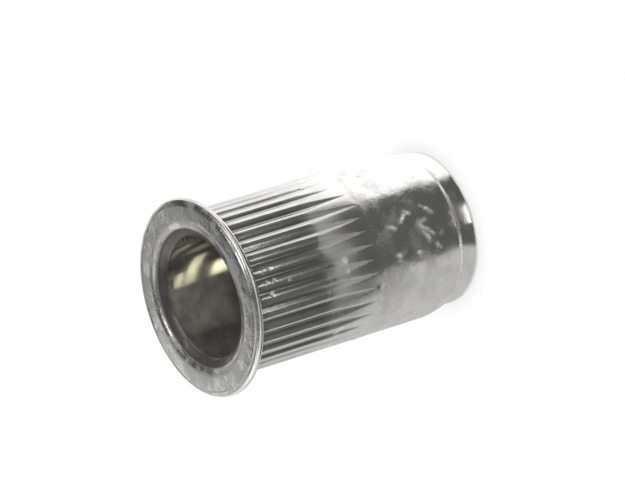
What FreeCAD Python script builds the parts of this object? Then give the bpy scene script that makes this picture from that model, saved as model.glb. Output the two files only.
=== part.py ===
import FreeCAD, Part
import math
import os

# Knurled rivet nut with an M6 thread, a thin small-diameter head and an open threaded end.
# It is one turned and cold-formed piece, and stands on its threaded end with the head up.
# +Z runs along the axis towards the head, and the origin is the centre of the tail face.
# All sizes are in millimetres.

# Thread
thread_major_dia = 6.0
thread_pitch = 1.0
tail_chamfer_width = 0.8

# Shank: a plain bore that clears the screw, in a wall that folds up when the nut is set
overall_length = 15.4
screw_clearance = 0.3
wall_thickness = 1.2
plain_bore_depth = 8.6
drill_point_angle = 118.0

# Head: a thin round flange that bears on the sheet
head_overhang = 0.875
head_thickness = 0.45
head_edge_round = 0.18
head_root_fillet = 0.25

# Mouth: a shallow dish in the head's face, then a steeper lead-in to the bore
dish_width = 0.5
dish_depth = 0.1
lead_in_width = 0.5
lead_in_depth = 0.3

# Shoulder, neck and tail ring
shoulder_radius = 4.0
shoulder_length = 1.2
shoulder_edge_break = 0.06
neck_step = 0.39
neck_length = 0.3
tail_ring_step = 0.31
tail_ring_length = 1.05
tail_edge_break = 0.12

# Knurl: straight V grooves that stop the nut from turning in the sheet
knurl_count = 36
knurl_rise = 0.04
knurl_depth = 0.22
knurl_crest_width = 0.13
knurl_band_taper = 0.2
knurl_gap_under_fillet = 0.1
knurl_run_in = 0.3
knurl_full_length = 4.6
knurl_run_out = 2.95

# Radii
major_r = thread_major_dia / 2
minor_r = major_r - thread_pitch / 2
bore_r = major_r + screw_clearance
body_r = bore_r + wall_thickness
head_r = body_r + head_overhang
dish_end_r = bore_r + lead_in_width
mouth_r = dish_end_r + dish_width
crest_r = body_r + knurl_rise
neck_r = body_r - neck_step
ring_r = body_r - tail_ring_step
tail_chamfer_r = minor_r + tail_chamfer_width

# Stations of the head and the bore, down from the head's face
face_z = overall_length
underside_z = face_z - head_thickness
dish_end_z = face_z - dish_depth
lip_z = dish_end_z - lead_in_depth
bore_floor_z = face_z - plain_bore_depth
cone_height = (bore_r - minor_r) / math.tan(math.radians(drill_point_angle / 2))
cone_end_z = bore_floor_z - cone_height

# Stations of the knurl, down from the fillet under the head
band_top_z = underside_z - head_root_fillet - knurl_gap_under_fillet
knurl_top_z = band_top_z - knurl_band_taper
full_top_z = knurl_top_z - knurl_run_in
full_end_z = full_top_z - knurl_full_length
knurl_end_z = full_end_z - knurl_run_out
band_end_z = knurl_end_z - knurl_band_taper

# Stations of the tail, up from the tail face
neck_z = tail_ring_length + neck_length
shoulder_top_z = neck_z + shoulder_length
shoulder_turn = math.asin(shoulder_length / shoulder_radius)
shoulder_foot_r = body_r - shoulder_radius * (1 - math.cos(shoulder_turn))

# The head's edge can't be rounder than its thickness allows
edge_round = min(head_edge_round, 0.45 * head_thickness)

ORIGIN = FreeCAD.Vector(0, 0, 0)
AXIS = FreeCAD.Vector(0, 0, 1)


def point(radius, z):
    """A point of the turned section, which lies in the XZ plane."""
    return FreeCAD.Vector(radius, 0, z)


class Section:
    """The half section, drawn as one chain of lines and arcs."""

    def __init__(self, radius, z):
        self.last = point(radius, z)
        self.edges = []

    def line_to(self, radius, z):
        end = point(radius, z)
        self.edges.append(Part.LineSegment(self.last, end).toShape())
        self.last = end

    def arc_to(self, radius, z, centre):
        """An arc about the centre to the given point, by the short way."""
        end = point(radius, z)
        outward = (self.last + end) * 0.5 - centre
        outward.normalize()
        middle = centre + outward * (end - centre).Length
        self.edges.append(Part.Arc(self.last, middle, end).toShape())
        self.last = end


def draw_tail(section):
    """The outside of the threaded end, from the tail face up to the shank."""
    section.line_to(ring_r - tail_edge_break, 0)
    section.line_to(ring_r, tail_edge_break)
    section.line_to(ring_r, tail_ring_length)
    section.line_to(neck_r, neck_z - shoulder_edge_break)
    section.line_to(shoulder_foot_r - shoulder_edge_break, neck_z - shoulder_edge_break)
    section.line_to(shoulder_foot_r, neck_z)
    section.arc_to(body_r, shoulder_top_z, point(body_r - shoulder_radius, shoulder_top_z))


def draw_knurl_band(section):
    """The band that the grooves are cut in, a little proud of the shank."""
    section.line_to(body_r, band_end_z)
    section.line_to(crest_r, knurl_end_z)
    section.line_to(crest_r, knurl_top_z)
    section.line_to(body_r, band_top_z)


def draw_head(section):
    """The root fillet, underside, round edge and face of the head."""
    root_end_r = body_r + head_root_fillet
    root_z = underside_z - head_root_fillet
    edge_r = head_r - edge_round
    section.line_to(body_r, root_z)
    section.arc_to(root_end_r, underside_z, point(root_end_r, root_z))
    section.line_to(edge_r, underside_z)
    section.arc_to(head_r, underside_z + edge_round, point(edge_r, underside_z + edge_round))
    section.line_to(head_r, face_z - edge_round)
    section.arc_to(edge_r, face_z, point(edge_r, face_z - edge_round))
    section.line_to(mouth_r, face_z)


def draw_bore(section):
    """The dish, the lead-in, the plain bore, the drill's cone and the thread's hole."""
    section.line_to(dish_end_r, dish_end_z)
    section.line_to(bore_r, lip_z)
    section.line_to(bore_r, bore_floor_z)
    section.line_to(minor_r, cone_end_z)
    section.line_to(minor_r, tail_chamfer_width)
    section.line_to(tail_chamfer_r, 0)


def turned_blank():
    """The nut before knurling: its half section turned about the axis."""
    section = Section(tail_chamfer_r, 0)
    draw_tail(section)
    draw_knurl_band(section)
    draw_head(section)
    draw_bore(section)
    face = Part.Face(Part.Wire(section.edges))
    return face.revolve(ORIGIN, AXIS, 360)


def groove_cutter():
    """One V groove: a short run-in, the full depth, and a long run-out."""
    root_r = crest_r - knurl_depth
    top_r = crest_r + knurl_depth
    groove_width = 2 * math.pi * crest_r / knurl_count - knurl_crest_width
    vee_points = [
        FreeCAD.Vector(root_r, 0, 0),
        FreeCAD.Vector(top_r, groove_width, 0),
        FreeCAD.Vector(top_r, -groove_width, 0),
        FreeCAD.Vector(root_r, 0, 0),
    ]
    vee = Part.Face(Part.makePolygon(vee_points))
    top = vee.translated(AXIS * full_top_z)
    end = vee.translated(AXIS * full_end_z)
    full = top.extrude(AXIS * -knurl_full_length)
    run_in = top.extrude(FreeCAD.Vector(knurl_depth, 0, knurl_run_in))
    run_out = end.extrude(FreeCAD.Vector(knurl_depth, 0, -knurl_run_out))
    return full.multiFuse([run_in, run_out])


def knurled(blank):
    """The blank with its grooves cut at even steps round the axis."""
    cutter = groove_cutter()
    grooves = []
    for number in range(knurl_count):
        groove = cutter.copy()
        groove.rotate(ORIGIN, AXIS, 360.0 * number / knurl_count)
        grooves.append(groove)
    return blank.cut(grooves).Solids[0]


os.makedirs("parts", exist_ok=True)
rivet_nut = knurled(turned_blank())
rivet_nut.exportStep("parts/rivet_nut.step")
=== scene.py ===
import bpy
import bmesh
import math
import random

from mathutils import Matrix, Vector


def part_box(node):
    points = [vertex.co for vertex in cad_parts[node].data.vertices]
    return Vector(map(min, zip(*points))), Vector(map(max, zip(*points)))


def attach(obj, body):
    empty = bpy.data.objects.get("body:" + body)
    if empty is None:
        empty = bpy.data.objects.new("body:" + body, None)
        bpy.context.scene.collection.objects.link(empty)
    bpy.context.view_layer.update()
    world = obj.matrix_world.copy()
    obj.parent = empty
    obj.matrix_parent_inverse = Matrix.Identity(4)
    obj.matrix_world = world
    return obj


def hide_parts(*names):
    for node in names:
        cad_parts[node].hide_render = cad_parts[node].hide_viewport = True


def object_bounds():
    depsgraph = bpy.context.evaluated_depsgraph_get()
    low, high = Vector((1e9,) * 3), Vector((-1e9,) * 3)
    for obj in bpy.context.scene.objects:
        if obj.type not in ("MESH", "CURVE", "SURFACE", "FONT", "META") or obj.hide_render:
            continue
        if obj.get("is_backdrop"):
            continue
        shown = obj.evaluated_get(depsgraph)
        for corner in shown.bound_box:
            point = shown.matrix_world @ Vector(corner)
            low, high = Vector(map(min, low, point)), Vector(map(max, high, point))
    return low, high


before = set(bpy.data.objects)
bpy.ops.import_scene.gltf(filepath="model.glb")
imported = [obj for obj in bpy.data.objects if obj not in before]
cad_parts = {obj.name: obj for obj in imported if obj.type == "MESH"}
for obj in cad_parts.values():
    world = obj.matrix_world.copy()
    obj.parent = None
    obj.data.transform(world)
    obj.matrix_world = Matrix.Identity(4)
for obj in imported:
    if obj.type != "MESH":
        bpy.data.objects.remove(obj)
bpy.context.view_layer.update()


# The rivet nut: one piece of zinc-plated steel, turned and cold-formed, with a rolled straight knurl.
# Its thin head bears on the sheet, the wall of its plain bore folds up behind it, and the tail is threaded.
# Sizes are in millimetres, with z up from the tail face, and become metres where the mesh is made.
MM = 0.001
box_low, box_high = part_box("rivet_nut")
nut_length = (box_high.z - box_low.z) / MM
head_r = min(-box_low.x, box_high.y) / MM
body_r = 4.5
bore_r = 3.3


def spread(low, high, steps):
    """Even values from low to just before high."""
    return [low + (high - low) * i / steps for i in range(steps)]


def smooth(value, low, high):
    """0 below low, 1 above high, with a smooth rise between."""
    share = min(max((value - low) / (high - low), 0.0), 1.0)
    return share * share * (3 - 2 * share)


def soft_rise(value, roundness):
    """The value where it is above 0, and 0 where it is below, with a rounded turn between."""
    return 0.5 * (value + math.hypot(value, roundness))


def arc(centre_r, centre_z, radius, start, end, steps):
    """Section points on an arc, from one angle to just before another, in degrees from outward."""
    angles = [math.radians(degrees) for degrees in spread(start, end, steps)]
    return [(centre_r + radius * math.cos(a), centre_z + radius * math.sin(a)) for a in angles]


# Tail: a smooth ring, a shallow neck, and a square step where the shoulder starts
tail_face_r = 3.5
tail_chamfer_r = 3.3
ring_r = 4.19
ring_edge = 0.12
ring_top_z = 0.95
neck_r = 4.11
neck_low_z = 1.25
neck_z = 1.29
step_root_r = 4.14
step_r = 4.315
step_round = 0.07
shoulder_top_z = 2.55


def tail_rows():
    """The tail face's outer part, the ring, the neck, the step and the shoulder."""
    rows = [(tail_face_r, 0.0)]
    rows += arc(ring_r - ring_edge, ring_edge, ring_edge, -90, 0, 5)
    rows += [(ring_r, z) for z in spread(ring_edge, ring_top_z, 3)]
    for z in spread(ring_top_z, neck_z, 7):
        rows.append((ring_r + (neck_r - ring_r) * smooth(z, ring_top_z, neck_low_z), z))
    rows.append((step_root_r, neck_z))
    rows += arc(step_r - step_round, neck_z + step_round, step_round, -90, 0, 5)
    shoulder_z = neck_z + step_round
    for z in spread(shoulder_z, shoulder_top_z, 12):
        fall = (shoulder_top_z - z) / (shoulder_top_z - shoulder_z)
        rows.append((body_r + (step_r - body_r) * fall * fall, z))
    return rows


# Knurl: straight grooves with soft roots, which fade out down the shank and stop short of the head.
# The tool pushes up a small burr at the end of each groove. Places across a groove are shares of the step
# from one groove to the next.
knurl_count = 36
knurl_depth = 0.15
knurl_end_z = 6.55
knurl_full_end_z = 9.5
knurl_full_top_z = 14.45
knurl_top_z = 14.55
knurl_taper = 0.2
knurl_low_z = knurl_end_z - knurl_taper
knurl_high_z = knurl_top_z + knurl_taper
groove_steepness = 2.75
groove_root_round = 0.04
groove_edge_round = 0.01
run_out_round = 0.06
burr_height = 0.05
burr_rise = 0.15
burr_length = 0.16
burr_width = 0.14
draw = random.Random(36)
groove_depth = [draw.uniform(0.88, 1.08) for _ in range(knurl_count)]
groove_reach = [draw.uniform(-0.15, 0.15) for _ in range(knurl_count)]
groove_burr = [draw.random() ** 2 for _ in range(knurl_count)]


def shank_rows():
    """The plain shank and the knurled band, before the knurl is pressed in."""
    stretches = [(shoulder_top_z, knurl_low_z, 36), (knurl_low_z, knurl_full_end_z, 42)]
    stretches += [(knurl_full_end_z, knurl_full_top_z, 50), (knurl_full_top_z, knurl_high_z, 9)]
    return [(body_r, z) for low, high, steps in stretches for z in spread(low, high, steps)]


def knurl(turn, z):
    """How far the knurl moves the shank's surface out at a turn and a height, and how far it is pressed."""
    place = turn * knurl_count
    number = round(place) % knurl_count
    across = place - round(place)
    end_z = knurl_end_z + groove_reach[number]
    band = smooth(z, end_z - knurl_taper, end_z) * smooth(knurl_high_z - z, 0.0, knurl_taper)
    full = knurl_depth * groove_depth[number]
    vee = 1 - groove_steepness * math.hypot(across, groove_root_round)
    run_out = (knurl_full_end_z - z) / (knurl_full_end_z - end_z)
    run_in = (z - knurl_full_top_z) / (knurl_top_z - knurl_full_top_z)
    cut = full * (vee - soft_rise(run_out, run_out_round) - max(run_in, 0.0))
    from_burr = ((z - end_z - burr_rise) / burr_length) ** 2 + (across / burr_width) ** 2
    burr = burr_height * groove_burr[number] * math.exp(-from_burr)
    return burr - soft_rise(cut, groove_edge_round) * band, band * max(cut, 0.0) / full


# Head: a thin flange with a round edge, a slight bevel round its face, and a dish down to the bore's lip
head_thickness = 0.45
edge_round = 0.18
root_fillet = 0.25
bevel_r = 5.07
bevel_slope = 0.3
bevel_round = 0.05
dish_r = 4.35
dish_round = 0.08
dish_depth = 0.4
dish_end_r = 3.32
lip_round = 0.06
bore_floor_z = 6.8


def head_rows():
    """The root fillet, the underside, the round edge, the bevelled face and the dish."""
    underside_z = nut_length - head_thickness
    root_z = underside_z - root_fillet
    edge_r = head_r - edge_round
    rows = [(body_r, root_z)]
    rows += arc(body_r + root_fillet, root_z, root_fillet, 180, 90, 6)[1:]
    rows += [(r, underside_z) for r in spread(body_r + root_fillet, edge_r, 3)]
    rows += arc(edge_r, underside_z + edge_round, edge_round, -90, 0, 7)
    bevel_angle = math.atan(bevel_slope)
    bevel_end_r = edge_r + edge_round * math.sin(bevel_angle)
    drop = bevel_slope * (bevel_end_r - bevel_r)
    edge_z = nut_length - drop - edge_round * math.cos(bevel_angle)
    rows += arc(edge_r, edge_z, edge_round, 0, 90 - math.degrees(bevel_angle), 7)
    for r in spread(bevel_end_r, dish_end_r, 44):
        crown = bevel_slope * soft_rise(r - bevel_r, bevel_round)
        inward = soft_rise(dish_r - r, dish_round) / (dish_r - bore_r)
        rows.append((r, nut_length - crown - dish_depth * inward ** 2))
    return rows


def bore_rows():
    """The rounded lip and the plain bore, down to the drill's cone."""
    lip_z = nut_length - dish_depth - lip_round
    rows = arc(bore_r + lip_round, lip_z, lip_round, 120, 180, 5)
    rows += [(bore_r, z) for z in spread(lip_z, bore_floor_z, 24)]
    return rows + [(bore_r, bore_floor_z)]


# Nicks on the camera's side of the barrel, as the photo shows them. Each has its two ends, as heights and
# angles from the camera's side, then its width and its depth. It is made of two strokes that stray a bit.
camera_azimuth = -90.4
nick_stray_z = 0.05
nick_stray_angle = 0.7
nicks = [(5.6, 9, 5.25, 5.5, 0.09, 0.05), (4.76, 9, 4.3, 15, 0.1, 0.06), (4.3, 15, 4.0, 13, 0.08, 0.05)]
nicks += [(3.2, 16, 2.65, 10, 0.1, 0.06), (3.75, 6, 3.5, 1, 0.1, 0.06), (3.62, 3, 3.3, -1, 0.08, 0.05)]
nicks += [(3.5, -2, 3.3, -8, 0.11, 0.07), (3.3, 0, 2.95, -5, 0.08, 0.05), (2.9, -12, 2.65, -16, 0.09, 0.05)]
nicks += [(5.46, -12, 5.36, -13, 0.1, 0.06), (4.11, -14, 4.03, -15, 0.1, 0.05)]
nicks += [(8.95, -4, 8.82, -5, 0.12, 0.07), (14.0, 4, 13.9, 3, 0.045, 0.035)]
nicks += [(13.4, 5, 13.35, 5, 0.045, 0.03), (13.85, -3, 13.8, -3, 0.045, 0.03)]
nicks += [(13.4, -3, 13.35, -3, 0.045, 0.03), (12.5, -6, 12.45, -6, 0.045, 0.03)]
nicks += [(13.7, -12, 13.65, -12, 0.045, 0.035)]
strokes = []
for z0, angle0, z1, angle1, width, deep in nicks:
    for start in (0.0, 0.5):
        length = draw.uniform(0.45, 0.6)
        ends = []
        for share in (start, start + length):
            stray_z = draw.uniform(-nick_stray_z, nick_stray_z)
            stray_angle = draw.uniform(-nick_stray_angle, nick_stray_angle)
            angle = camera_azimuth + angle0 + (angle1 - angle0) * share + stray_angle
            ends += [z0 + (z1 - z0) * share + stray_z, angle / 360]
        wide = width * draw.uniform(0.6, 1.0)
        strokes.append((*ends, wide, deep * draw.uniform(0.7, 1.1)))

# Light scratches all round the barrel, from handling. There are fewer on the camera's side.
scratch_count = 70
scratch_low_z = 1.6
scratch_high_z = 9.5
scratch_rise = 0.35
scratch_turn = 0.012
scratch_width = (0.06, 0.1)
scratch_depth = (0.015, 0.045)
camera_side_angle = 55
camera_side_left_out = 0.6
for _ in range(scratch_count):
    z0 = draw.uniform(scratch_low_z, scratch_high_z)
    turn0 = draw.uniform(-1.0, 0.0)
    on_camera_side = abs(turn0 * 360 - camera_azimuth) < camera_side_angle
    if on_camera_side and draw.random() < camera_side_left_out:
        continue
    z1 = z0 + draw.uniform(-scratch_rise, scratch_rise)
    turn1 = turn0 + draw.uniform(-scratch_turn, scratch_turn)
    strokes.append((z0, turn0, z1, turn1, draw.uniform(*scratch_width), draw.uniform(*scratch_depth)))
strokes += [(z0, turn0 + 1, z1, turn1 + 1, wide, deep) for z0, turn0, z1, turn1, wide, deep in strokes]

# A nick's shape: its reach and the metal thrown up on one side, in widths and depths of the nick
nick_reach = 3
burr_side_gap = 1.5
burr_side_width = 0.6
burr_side_height = 0.4
full_scuff_depth = 0.03


def nick(near, turn, z):
    """How deep the near strokes cut at a turn and a height, with their burrs, and how scuffed it is."""
    depth = 0.0
    scuff = 0.0
    for z0, turn0, z1, turn1, width, deep in near:
        along_z = z1 - z0
        along_x = (turn1 - turn0) * 2 * math.pi * body_r
        across_x = (turn - turn0) * 2 * math.pi * body_r
        across_z = z - z0
        length = along_z * along_z + along_x * along_x
        share = min(max((across_z * along_z + across_x * along_x) / length, 0.0), 1.0)
        gap = math.hypot(across_z - share * along_z, across_x - share * along_x) / width
        if gap < nick_reach:
            height = burr_side_height if across_x * along_z > across_z * along_x else 0.0
            burr = height * math.exp(-((gap - burr_side_gap) / burr_side_width) ** 2)
            depth += deep * (math.exp(-gap * gap) - burr)
            scuff = max(scuff, math.exp(-gap * gap / 2) * min(deep / full_scuff_depth, 1.0))
    return depth, scuff


# Thread: a metric thread of 1 mm pitch, cut through from the drill's cone to the tail's chamfer.
# Its flats are given by their two ends, as shares of the pitch.
thread_minor_r = 2.5
thread_major_r = 3.0
thread_pitch = 1.0
drill_half_angle = math.radians(59)
bore_columns = knurl_count * 4
thread_major_flat = (0.6875, 0.5625)
thread_minor_flat = (0.25, 0.0)


def hole_radius(z):
    """The threaded hole without its thread: the tail's chamfer, the hole and the drill's cone."""
    chamfer = tail_chamfer_r - z
    cone = bore_r - (bore_floor_z - z) * math.tan(drill_half_angle)
    return max(chamfer, cone, thread_minor_r)


def thread_grid():
    """Rows that follow the helix from the plain bore's floor to the tail face."""
    profile = [(share, thread_major_r) for share in thread_major_flat]
    profile += [(share, thread_minor_r) for share in thread_minor_flat]
    grid = []
    for number in range(math.ceil(bore_floor_z / thread_pitch), -2, -1):
        for share, crest_r in profile:
            row = []
            for i in range(bore_columns + 1):
                turn = i / bore_columns
                z = (number + share + turn) * thread_pitch
                clamped = min(max(z, 0.0), bore_floor_z)
                reach = max(hole_radius(clamped), crest_r if clamped == z else 0.0) * MM
                angle = 2 * math.pi * turn
                row.append((reach * math.cos(angle), reach * math.sin(angle), clamped * MM))
            grid.append(row)
    return grid


# Body: the section's rows turned round the axis, with the knurl and the nicks in them, and the helix inside
fine_columns = knurl_count * 12
stroke_margin = 0.3
barrel_r = 4.2
barrel_low_z = 1.4
merge_distance = 1e-7
smallest_edge = 1e-8
sharp_angle = math.radians(40)
vertices = []
shares = []
faces = []


def strokes_near(z):
    """The strokes whose heights come close to a height."""
    near = []
    for stroke in strokes:
        low, high = sorted((stroke[0], stroke[2]))
        if low - stroke_margin < z < high + stroke_margin:
            near.append(stroke)
    return near


def add_row(count, radius, z):
    """Adds one closed row of vertices and returns their indices."""
    near = strokes_near(z)
    on_band = radius == body_r and knurl_low_z - knurl_taper < z < knurl_high_z
    on_barrel = radius > barrel_r and barrel_low_z < z < knurl_top_z
    first = len(vertices)
    for i in range(count):
        turn = i / count
        offset, pressed = knurl(turn, z) if on_band else (0.0, 0.0)
        depth, scuffed = nick(near, turn, z) if on_barrel else (0.0, 0.0)
        reach = (radius + offset - depth) * MM
        angle = 2 * math.pi * turn
        vertices.append((reach * math.cos(angle), reach * math.sin(angle), z * MM))
        shares.append((pressed, scuffed))
    return range(first, first + count)


def join_rows(low, high):
    """Adds the faces between two closed rows. The first may have several times the second's columns."""
    ratio = len(low) // len(high)
    for i, a in enumerate(low):
        b = low[(i + 1) % len(low)]
        c = high[(i // ratio + 1) % len(high)]
        d = high[i // ratio]
        last = i % ratio == ratio - 1
        faces.append((a, b, c, d) if last else (a, b, d))


rows = []
for radius, z in tail_rows() + shank_rows() + head_rows():
    rows.append(add_row(fine_columns if z < knurl_high_z else bore_columns, radius, z))
for radius, z in bore_rows():
    rows.append(add_row(bore_columns, radius, z))
for low, high in zip(rows, rows[1:]):
    join_rows(low, high)
join_rows(rows[0], add_row(bore_columns, tail_chamfer_r, 0.0))
grid = thread_grid()
first = len(vertices)
columns = bore_columns + 1
for row in grid:
    vertices += row
for k in range(len(grid) - 1):
    for i in range(bore_columns):
        corner = first + k * columns + i
        faces.append((corner, corner + 1, corner + columns + 1, corner + columns))

mesh = bpy.data.meshes.new("rivet_nut_body")
mesh.from_pydata(vertices, [], faces)
shares += [(0.0, 0.0)] * (len(vertices) - len(shares))
for name, values in zip(("pressed", "scuffed"), zip(*shares)):
    mesh.attributes.new(name, "FLOAT", "POINT").data.foreach_set("value", values)
shape = bmesh.new()
shape.from_mesh(mesh)
bmesh.ops.remove_doubles(shape, verts=shape.verts, dist=merge_distance)
bmesh.ops.dissolve_degenerate(shape, edges=shape.edges, dist=smallest_edge)
bmesh.ops.recalc_face_normals(shape, faces=shape.faces)
shape.to_mesh(mesh)
shape.free()
mesh.shade_smooth()
mesh.set_sharp_from_angle(angle=sharp_angle)
nut = bpy.data.objects.new("rivet_nut_body", mesh)
bpy.context.scene.collection.objects.link(nut)


class Nodes:
    """Short calls that add and link the nodes of one material or of the world."""

    def __init__(self, tree):
        self.tree = tree

    def fill(self, node, inputs):
        for socket, value in inputs.items():
            if isinstance(value, bpy.types.NodeSocket):
                self.tree.links.new(value, node.inputs[socket])
            else:
                node.inputs[socket].default_value = value

    def add(self, kind, inputs=None, **settings):
        node = self.tree.nodes.new(kind)
        for name, value in settings.items():
            setattr(node, name, value)
        self.fill(node, inputs or {})
        return node

    def math(self, operation, a, b=0.0):
        return self.add("ShaderNodeMath", {0: a, 1: b}, operation=operation).outputs[0]

    def plus(self, a, b):
        return self.math("ADD", a, b)

    def minus(self, a, b):
        return self.math("SUBTRACT", a, b)

    def times(self, a, b):
        return self.math("MULTIPLY", a, b)

    def larger(self, a, b):
        return self.math("MAXIMUM", a, b)

    def ramp(self, value, low, high, to_low=0.0, to_high=1.0):
        inputs = {"Value": value, "From Min": low, "From Max": high, "To Min": to_low, "To Max": to_high}
        return self.add("ShaderNodeMapRange", inputs, interpolation_type="SMOOTHSTEP").outputs[0]

    def noise(self, place, scale, detail, rough):
        inputs = {"Vector": place, "Scale": scale, "Detail": detail, "Roughness": rough}
        return self.add("ShaderNodeTexNoise", inputs).outputs["Fac"]

    def mix(self, share, a, b):
        return self.add("ShaderNodeMix", {0: share, 6: a, 7: b}, data_type="RGBA").outputs[2]


# Plating: bright zinc, dulled in patches, with an oily film in the bore. Painted shade darkens the groove
# roots, the lead-in and the bore, a painted shadow darkens the band under the head, and the scuffs are
# lighter bare metal with a painted glint.
zinc_light = (0.815, 0.81, 0.795, 1.0)
zinc_dull = (0.735, 0.73, 0.715, 1.0)
# Painted shadow: a grey for the band under the head
painted_shadow_grey = (0.515, 0.51, 0.50, 1.0)
# Lighter bare metal in the scuffs, partly a painted glint
scuff_and_glint_colour = (0.95, 0.95, 0.95, 1.0)
# The bore's oily film, darkened as painted shade
oil_and_shade_dark = (0.12, 0.114, 0.10, 1.0)
oil_and_shade_light = (0.26, 0.248, 0.22, 1.0)
# Painted shade and shadow: a dark colour that the groove roots and the lead-in take, and how much of it
painted_shade_colour = (0.09, 0.086, 0.08, 1.0)
root_painted_shade = 0.4
under_head_painted_shadow = 0.7
lead_in_painted_shade = 0.98
bright_roughness = 0.12
grain_roughness = 0.14
cloud_roughness = 0.26
run_out_roughness = 0.06
run_out_roughness_to_camera = 0.2
scuff_roughness = 0.2
film_smoothing = 0.08
bevel_smoothing = 0.85
dish_smoothing = 0.6
wave_height = 0.04 * MM
grain_height = 0.03 * MM
grain_strength = 0.12
oil_coating = 0.65
scuff_coating = 0.25
cloud_raggedness = 0.12
run_out_raggedness = 2.0

plating = bpy.data.materials.new("zinc_plating")
plating.use_nodes = True
n = Nodes(plating.node_tree)
place = n.add("ShaderNodeTexCoord").outputs["Object"]
in_mm = n.add("ShaderNodeVectorMath", {0: place, "Scale": 1 / MM}, operation="SCALE").outputs[0]
slanted = n.add("ShaderNodeMapping", {"Vector": in_mm, "Rotation": (0.6, 0.8, 0.4)}).outputs[0]
x, y, z = n.add("ShaderNodeSeparateXYZ", {0: in_mm}).outputs
radius = n.math("SQRT", n.plus(n.times(x, x), n.times(y, y)))
mottle = n.noise(in_mm, 0.9, 4.0, 0.6)
grain = n.noise(slanted, 9.0, 3.0, 0.6)
fleck = n.ramp(mottle, 0.35, 0.7)
pressed = n.add("ShaderNodeAttribute", attribute_name="pressed").outputs["Fac"]
scuffed = n.add("ShaderNodeAttribute", attribute_name="scuffed").outputs["Fac"]

# Zones of the surface, each 0 outside and 1 inside. A ramp goes from the height or the radius where a zone
# starts to the one where it is full.
in_run_out = n.times(n.ramp(pressed, 0.0, 0.08), n.ramp(z, 10.6, 8.8))
in_root = n.times(n.ramp(pressed, 0.2, 0.6), n.ramp(z, 9.2, 10.8))
under_head = n.times(n.ramp(z, 13.9, 14.3), n.ramp(z, 14.9, 14.7))
on_bevel = n.times(n.ramp(radius, 4.96, 5.06), n.ramp(z, 14.9, 15.1))
on_dish = n.times(n.ramp(radius, 4.4, 4.2), n.ramp(z, 14.9, 15.0))
on_lead_in = n.times(n.ramp(radius, 3.86, 3.74), n.ramp(z, 14.6, 14.9))
in_bore = n.times(n.ramp(radius, 3.4, 3.28), n.ramp(z, 15.1, 14.95))
on_plain = n.larger(n.ramp(z, 6.9, 6.4), n.ramp(z, 14.7, 14.9))
ragged_z = n.plus(z, n.times(n.minus(mottle, 0.5), run_out_raggedness))
round_run_out = n.times(n.ramp(z, 7.2, 9.4), n.ramp(ragged_z, 10.2, 9.5))
to_camera = n.ramp(y, -3.5, -4.1)

# Colour
metal = n.mix(fleck, zinc_light, zinc_dull)
# Painted shade in the groove roots
metal = n.mix(n.times(in_root, root_painted_shade), metal, painted_shade_colour)
# Painted shadow under the head
metal = n.mix(n.times(under_head, under_head_painted_shadow), metal, painted_shadow_grey)
# Painted shade on the lead-in
metal = n.mix(n.times(on_lead_in, lead_in_painted_shade), metal, painted_shade_colour)
# The bore's oily film, darkened as painted shade
metal = n.mix(in_bore, metal, n.mix(fleck, oil_and_shade_dark, oil_and_shade_light))
# Scuffs: lighter bare metal with a painted glint
metal = n.mix(scuffed, metal, scuff_and_glint_colour)

# Roughness: a light grain, clouds on the plain parts, and a blur over the knurl's run-out
broken = n.plus(mottle, n.times(n.minus(grain, 0.5), cloud_raggedness))
cloudy = n.times(n.ramp(broken, 0.4, 0.7, 0.0, cloud_roughness), on_plain)
blur = n.plus(n.times(to_camera, run_out_roughness_to_camera), run_out_roughness)
rough = n.plus(n.plus(cloudy, bright_roughness), n.times(grain, grain_roughness))
rough = n.plus(rough, n.times(n.larger(in_run_out, round_run_out), blur))
rough = n.plus(rough, n.times(scuffed, scuff_roughness))
rough = n.minus(rough, n.times(in_bore, film_smoothing))

# Unevenness: slow waves on the plain parts and a fine grain, with less of both on the bevel and the dish
smoothed = n.plus(n.times(on_bevel, bevel_smoothing), n.times(on_dish, dish_smoothing))
uneven = n.times(n.minus(1.0, in_bore), n.minus(1.0, smoothed))
swell = n.minus(n.noise(in_mm, 0.8, 3.0, 0.55), 0.5)
waves = {"Strength": 1.0, "Distance": wave_height, "Height": n.times(n.times(swell, uneven), on_plain)}
wavy = n.add("ShaderNodeBump", waves).outputs[0]
rubbed = n.times(grain, uneven)
rub = {"Strength": grain_strength, "Distance": grain_height, "Height": rubbed, "Normal": wavy}
grainy = n.add("ShaderNodeBump", rub).outputs[0]

# Oil on the bore and the lead-in, and scuffs, take away from the mirror of bare metal
coated = n.times(n.larger(in_bore, on_lead_in), oil_coating)
coated = n.plus(coated, n.times(scuffed, scuff_coating))
surface = {"Base Color": metal, "Roughness": rough, "Metallic": n.minus(1.0, coated), "Normal": grainy}
n.fill(n.tree.nodes["Principled BSDF"], surface)
mesh.materials.append(plating)

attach(nut, "root")
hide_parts("rivet_nut")


# The floor: a pale flat sheet that the nut stands on, with a painted soft shadow where they touch: the
# camera and the reflections see it white, darkened by ambient occlusion close to the nut, and all other
# light sees it pale grey.
floor_size = 900.0
contact_distance = 2.0
contact_open = 0.7
contact_dark = 0.6
pale_grey = (0.8, 0.8, 0.8, 1.0)
white = (1.0, 1.0, 1.0, 1.0)


def cleared_nodes(owner):
    """The emptied node tree of a studio material or of the world."""
    owner.use_nodes = True
    owner.node_tree.nodes.clear()
    return Nodes(owner.node_tree)


def seen_white(n):
    """1 for the camera's rays, reflected ones and those through glass, and 0 for other light."""
    ray = n.add("ShaderNodeLightPath").outputs
    seen = n.larger(ray["Is Camera Ray"], ray["Is Glossy Ray"])
    return n.larger(seen, ray["Is Transmission Ray"])


def stage_object(name, points, polygons, material):
    """Adds a piece of the studio, from points in millimetres."""
    data = bpy.data.meshes.new(name)
    data.from_pydata([tuple(c * MM for c in p) for p in points], [], polygons)
    data.materials.append(material)
    item = bpy.data.objects.new(name, data)
    bpy.context.scene.collection.objects.link(item)
    item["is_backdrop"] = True
    return item


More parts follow.
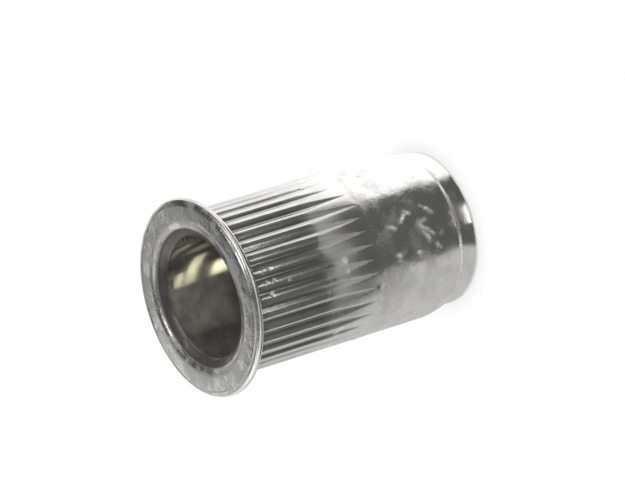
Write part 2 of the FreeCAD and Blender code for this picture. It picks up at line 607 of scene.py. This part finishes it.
def floor_material():
    """White where it is seen, with a painted shadow close to the nut, and pale grey to other light."""
    material = bpy.data.materials.new("pale_floor")
    n = cleared_nodes(material)
    reach = {"Distance": contact_distance * MM}
    near = n.add("ShaderNodeAmbientOcclusion", reach, samples=8).outputs["AO"]
    contact = {"Value": near, "From Min": 0.0, "From Max": contact_open, "To Min": contact_dark}
    level = n.add("ShaderNodeMapRange", contact).outputs[0]
    glow = n.add("ShaderNodeEmission", {"Strength": level})
    pale = n.add("ShaderNodeBsdfDiffuse", {"Color": pale_grey})
    either = n.add("ShaderNodeMixShader", {0: seen_white(n), 1: pale.outputs[0], 2: glow.outputs[0]})
    n.add("ShaderNodeOutputMaterial", {"Surface": either.outputs[0]})
    return material


half = floor_size / 2
floor_corners = [(-half, -half, 0), (half, -half, 0), (half, half, 0), (-half, half, 0)]
stage_object("floor", floor_corners, [(0, 1, 2, 3)], floor_material())


# Cards on the floor: dark paper before the nut and light paper at both sides, with two bright slips, as a
# photographer sets them round bright metal. Only the nut's reflections see the cards.
def card(name, points, polygons, strength, colour=white, glow=None):
    """A card that glows by the glow of its points, times a strength. Only reflections see it."""
    material = bpy.data.materials.new(name)
    n = cleared_nodes(material)
    level = n.add("ShaderNodeAttribute", attribute_name="glow").outputs["Fac"]
    light = n.add("ShaderNodeEmission", {"Color": colour, "Strength": n.times(level, strength)})
    n.add("ShaderNodeOutputMaterial", {"Surface": light.outputs[0]})
    item = stage_object(name, points, polygons, material)
    glows = item.data.attributes.new("glow", "FLOAT", "POINT")
    glows.data.foreach_set("value", glow or [1.0] * len(points))
    item.visible_camera = False
    item.visible_shadow = False
    item.visible_diffuse = False
    item.visible_transmission = False


def sheet(rows, columns):
    """The polygons of a sheet of points, row by row."""
    corners = [k * columns + i for k in range(rows - 1) for i in range(columns - 1)]
    return [(c, c + 1, c + columns + 1, c + columns) for c in corners]


def place_at(angle, distance, height):
    """A point by its angle from the camera's side, its distance from the axis and its height."""
    turn = math.radians(camera_azimuth + angle)
    return distance * math.cos(turn), distance * math.sin(turn), height


def floor_slip(name, start, end, inner, outer, height, strength):
    """A slip on the floor between two angles from the camera's side and two distances from the axis."""
    angles = spread(start, end, 24) + [end]
    points = [place_at(angle, distance, height) for distance in (inner, outer) for angle in angles]
    card(name, points, sheet(2, len(angles)), strength)


def patterned_card():
    """The card under the nut: dark before it and light at both sides. Each ring has its radius, the
    dark's two edges as angles from the camera's side, and the glow of the dark and of its two sides.
    Behind the nut, the high side fades into the low one."""
    rings = [(4.3, -24, 36, 0.11, 0.6, 1.45), (5.4, -26, 41, 0.11, 0.6, 1.45)]
    rings += [(8.0, -30, 47, 0.11, 0.6, 1.45), (13.0, -34, 52, 0.11, 0.6, 1.4)]
    rings += [(15.5, -60, 62, 0.11, 0.6, 1.2), (18.5, -84, 70, 0.1, 0.62, 1.1)]
    rings += [(23.0, -86, 72, 0.1, 0.62, 1.05), (33.0, -88, 72, 0.15, 0.62, 1.05)]
    rings += [(45.0, -90, 90, 0.5, 0.6, 1.05)]
    steps = 360
    blur = 3
    fade_start = 110
    height = 0.03
    points = []
    glow = []
    for radius, low_edge, high_edge, dark, low_side, high_side in rings:
        for i in range(steps + 1):
            angle = i * 360 / steps - 180
            level = dark + (low_side - dark) * smooth(low_edge - angle, -blur, blur)
            level += (high_side - dark) * smooth(angle - high_edge, -blur, blur)
            level += (low_side - high_side) * smooth(angle, fade_start, 180)
            points.append(place_at(angle, radius, height))
            glow.append(level)
    card("patterned_card", points, sheet(len(rings), steps + 1), 1.0, glow=glow)


patterned_card()
floor_slip("glint_card", -6, 9, 4.35, 4.8, 0.05, 1.8)
floor_slip("rim_glint_card", -8, 14, 28.0, 34.0, 0.06, 2.8)


# Cards overhead and behind: dark cloth over the camera's side, grey over the far side, and light cards that
# the head's face, its bevel and its dish mirror. A nearer card lies before a farther one.
far = 400.0


def sky_card(name, edge, strength, distance=far):
    """A card overhead. Each step of its edge is an angle round from the camera and two angles up."""
    steps = 12
    points = []
    for angle, lowest, highest in edge:
        for degrees in spread(lowest, highest, steps) + [highest]:
            rise = math.radians(degrees)
            points.append(place_at(angle, distance * math.cos(rise), distance * math.sin(rise)))
    card(name, points, sheet(len(edge), steps + 1), strength)


def upright_card(name, distance, corners, strength):
    """A card that stands beyond the nut, facing the camera. Corners are across and up, in millimetres."""
    turn = math.radians(camera_azimuth)
    away = Vector((-math.cos(turn), -math.sin(turn), 0))
    side = Vector((-math.sin(turn), math.cos(turn), 0))
    points = [away * distance + side * across + Vector((0, 0, height)) for across, height in corners]
    card(name, points, [tuple(range(len(points)))], strength)


camera_side_cloth = [(-150, 66, 90), (-130, 50, 90), (-115, 42, 90), (-90, 38, 90), (-60, 24, 90)]
camera_side_cloth += [(-40, 8, 90), (-20, 2, 90), (0, 2, 90), (20, 8, 90)]
far_side_cloth = [(20, 8, 90), (60, 12, 90), (140, 12, 90), (165, 0, 90), (200, 0, 90), (235, 60, 90)]
sky_card("dark_ceiling", camera_side_cloth, 0.12)
sky_card("grey_ceiling", far_side_cloth, 0.09)
sky_card("backdrop_card", [(192, 8, 60), (235, 8, 60)], 0.76, far - 10)
sky_card("high_backdrop", [(189, 44, 58), (196, 42, 60), (206, 42, 60)], 0.7, far - 20)
sky_card("key_card", [(22, 30, 80), (50, 30, 80), (85, 25, 70)], 1.6, far - 20)
sky_card("dish_shade", [(150, 30, 56), (170, 34, 56), (178, 36, 56), (184, 46, 60)], 0.06, far - 25)
sky_card("low_backdrop", [(157, 5, 26), (166, 1, 20), (178, 1, 10)], 0.75, far - 12)
sky_card("inner_streak", [(160, 56, 61), (167, 59, 65), (175, 62, 67)], 3.4, far - 30)
near_edge = [(9, 28.6), (9, 33.4), (0, 33.9), (-5, 36.3), (-9, 37.2), (-9, 20), (-3, 22)]
near_edge += [(-1, 30.6), (2, 29.6)]
upright_card("near_backdrop", 30.0, near_edge, 0.78)


# Slips in the bore: three small bright ones for the olive glints in its oily far wall, and a dim one all
# round its camera side for the haze over the wall. They stand just inside it and fade to their edges.
olive = (1.0, 1.0, 0.68, 1.0)
haze = (1.0, 0.97, 0.88, 1.0)


def bore_card(name, start, end, low, high, strength, colour, depth=0.1):
    """A glowing slip in the bore between two angles from the camera's side and two heights."""
    rows = 8
    columns = 16
    points = []
    glow = []
    for k in range(rows + 1):
        for i in range(columns + 1):
            angle = start + (end - start) * i / columns
            points.append(place_at(angle, bore_r - depth, low + (high - low) * k / rows))
            edge = math.sin(math.pi * i / columns) * math.sin(math.pi * k / rows)
            glow.append(math.sqrt(max(edge, 0.0)))
    card(name, points, sheet(rows + 1, columns + 1), strength, colour, glow)


bore_card("bore_glint_one", -86, -44, 10.3, 10.85, 9.0, olive)
bore_card("bore_glint_two", -128, -42, 9.35, 10.25, 8.0, olive)
bore_card("bore_glint_three", -94, -50, 7.1, 8.5, 11.0, olive)
bore_card("bore_haze", -105, 105, 6.4, 14.5, 0.65, haze, depth=0.05)


# The light: a pale world that the camera and the reflections see white, and two soft lamps over the nut's
# sides, which give it its plain shading. The floor's faint shadow is painted, not cast by them.
world_level = 0.6
white_level = 1.0
world = bpy.data.worlds.new("pale_world")
bpy.context.scene.world = world
n = cleared_nodes(world)
brightness = {"Value": seen_white(n), "To Min": world_level, "To Max": white_level}
level = n.add("ShaderNodeMapRange", brightness).outputs[0]
back = n.add("ShaderNodeBackground", {"Color": white, "Strength": level})
n.add("ShaderNodeOutputWorld", {"Surface": back.outputs[0]})


def softbox(name, azimuth, elevation, distance, size, power):
    """A soft lamp aimed at the nut, placed by angles from the camera's side."""
    rise = math.radians(elevation)
    away = Vector(place_at(azimuth, math.cos(rise), math.sin(rise)))
    lamp = bpy.data.lights.new(name, "AREA")
    lamp.size = size * MM
    lamp.energy = power
    item = bpy.data.objects.new(name, lamp)
    item.location = away * distance * MM + Vector((0, 0, nut_length * MM / 2))
    item.rotation_mode = "QUATERNION"
    item.rotation_quaternion = away.to_track_quat("Z", "Y")
    bpy.context.scene.collection.objects.link(item)


softbox("key_softbox", 100, 45, 350, 200, 0.35)
softbox("fill_softbox", -125, 40, 350, 250, 0.15)


# The camera: a long lens above the head, turned on its side, so that the standing nut is seen as the photo
# shows it lying. It is placed by where the middle of the head's face comes in the picture.
camera_elevation = 32.985
camera_roll = 107.09
camera_distance = 278.3
mouth_left = 6.02
mouth_below = 2.56
lens = 306.8
sensor = 36.0

rise = math.radians(camera_elevation)
towards_camera = Vector(place_at(0, math.cos(rise), math.sin(rise)))
level_right = Vector((0, 0, 1)).cross(towards_camera).normalized()
level_up = towards_camera.cross(level_right)
roll = math.radians(camera_roll)
right = level_right * math.cos(roll) - level_up * math.sin(roll)
up = level_up * math.cos(roll) + level_right * math.sin(roll)
mouth = Vector((0, 0, nut_length))
camera_data = bpy.data.cameras.new("camera")
camera_data.lens = lens
camera_data.sensor_width = sensor
camera_data.clip_start = 0.01
camera_data.clip_end = 10.0
camera = bpy.data.objects.new("camera", camera_data)
camera.rotation_mode = "QUATERNION"
camera.rotation_quaternion = Matrix((right, up, towards_camera)).transposed().to_quaternion()
camera.location = (mouth + right * mouth_left + up * mouth_below + towards_camera * camera_distance) * MM
bpy.context.scene.collection.objects.link(camera)
bpy.context.scene.camera = camera
bpy.context.scene.view_settings.view_transform = "Standard"

low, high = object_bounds()
